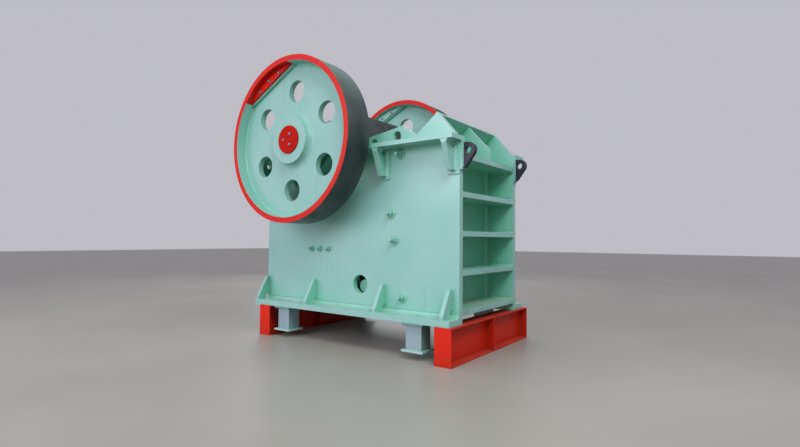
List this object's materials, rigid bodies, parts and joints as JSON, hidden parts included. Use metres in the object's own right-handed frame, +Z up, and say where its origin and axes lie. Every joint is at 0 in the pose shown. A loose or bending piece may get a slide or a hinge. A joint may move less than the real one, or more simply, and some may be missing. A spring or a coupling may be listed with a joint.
{
  "type": "jaw crusher",
  "caption": "Single-toggle jaw crusher in mint green with red-rimmed flywheels, a ribbed front wall and an open feed mouth, standing on two red steel beams",
  "frame": {"origin": "On the floor under the middle of the machine's bounding box, in length and in width; z = 0 is the underside of the two beams.", "axes": "+X points out of the ribbed front wall, the end with the feed opening. +Y points to the right of someone who faces that wall. +Z is up. The shaft lies along Y."},
  "size_m": [4.205, 3.248, 4.228],
  "materials": {
    "frame_paint": "mint green machine enamel, dusty on upward faces",
    "beam_paint": "orange-red primer paint, scuffed at the edges",
    "signal_paint": "signal red enamel",
    "foot_paint": "light blue-grey paint",
    "dark_paint": "dark grey paint, slightly glossy",
    "manganese": "manganese steel casting, unworn, dull brown-grey",
    "bright_steel": "turned steel with a film of oil"
  },
  "bodies": {
    "frame": {"front_beam": "beam_paint", "rear_beam": "beam_paint", "foot_front_left": "foot_paint", "foot_front_right": "foot_paint", "foot_rear_left": "foot_paint", "foot_rear_right": "foot_paint", "side_plate_left": "frame_paint", "side_plate_right": "frame_paint", "base_flange_left": "frame_paint", "base_flange_right": "frame_paint", "bearing_flange_left": "frame_paint", "bearing_flange_right": "frame_paint", "lifting_lug_left": "dark_paint", "lifting_lug_right": "dark_paint", "front_wall": "frame_paint", "front_rib_1": "frame_paint", "front_rib_2": "frame_paint", "front_rib_3": "frame_paint", "front_rib_4": "frame_paint", "front_rib_5": "frame_paint", "feed_lip": "frame_paint", "feed_lip_gusset": "frame_paint", "rear_wall": "frame_paint", "rear_ribs": "frame_paint", "fixed_jaw_plate": "manganese", "cheek_plates_left": "manganese", "cheek_plates_right": "manganese", "toggle_beam": "frame_paint", "toggle_seat": "manganese", "toggle_plate": "dark_paint", "tension_rods": "bright_steel", "disc_springs": "bright_steel", "bearing_housing_left": "frame_paint", "bearing_housing_right": "frame_paint"},
    "rotor": {"eccentric_shaft": "bright_steel", "flywheel_left": "frame_paint", "flywheel_right": "frame_paint", "counterweights_left": "signal_paint", "counterweights_right": "signal_paint", "end_cap_left": "signal_paint", "end_cap_right": "signal_paint"},
    "jaw": {"swing_jaw": "frame_paint", "moving_jaw_plate": "manganese", "jaw_guard": "dark_paint"}
  },
  "joints": [
    {"name": "shaft", "type": "hinge", "parent": "frame", "child": "rotor", "pos_m": [-0.5685, 0, 3.008], "axis": [0, 1, 0], "continuous": true},
    {"name": "jaw_pivot", "type": "hinge", "parent": "rotor", "child": "jaw", "pos_m": [-0.55853, 0, 2.9884], "axis": [0, 1, 0], "continuous": true}
  ],
  "couplings": [
    {"joint": "jaw_pivot", "follows": "shaft", "ratio": -1}
  ]
}
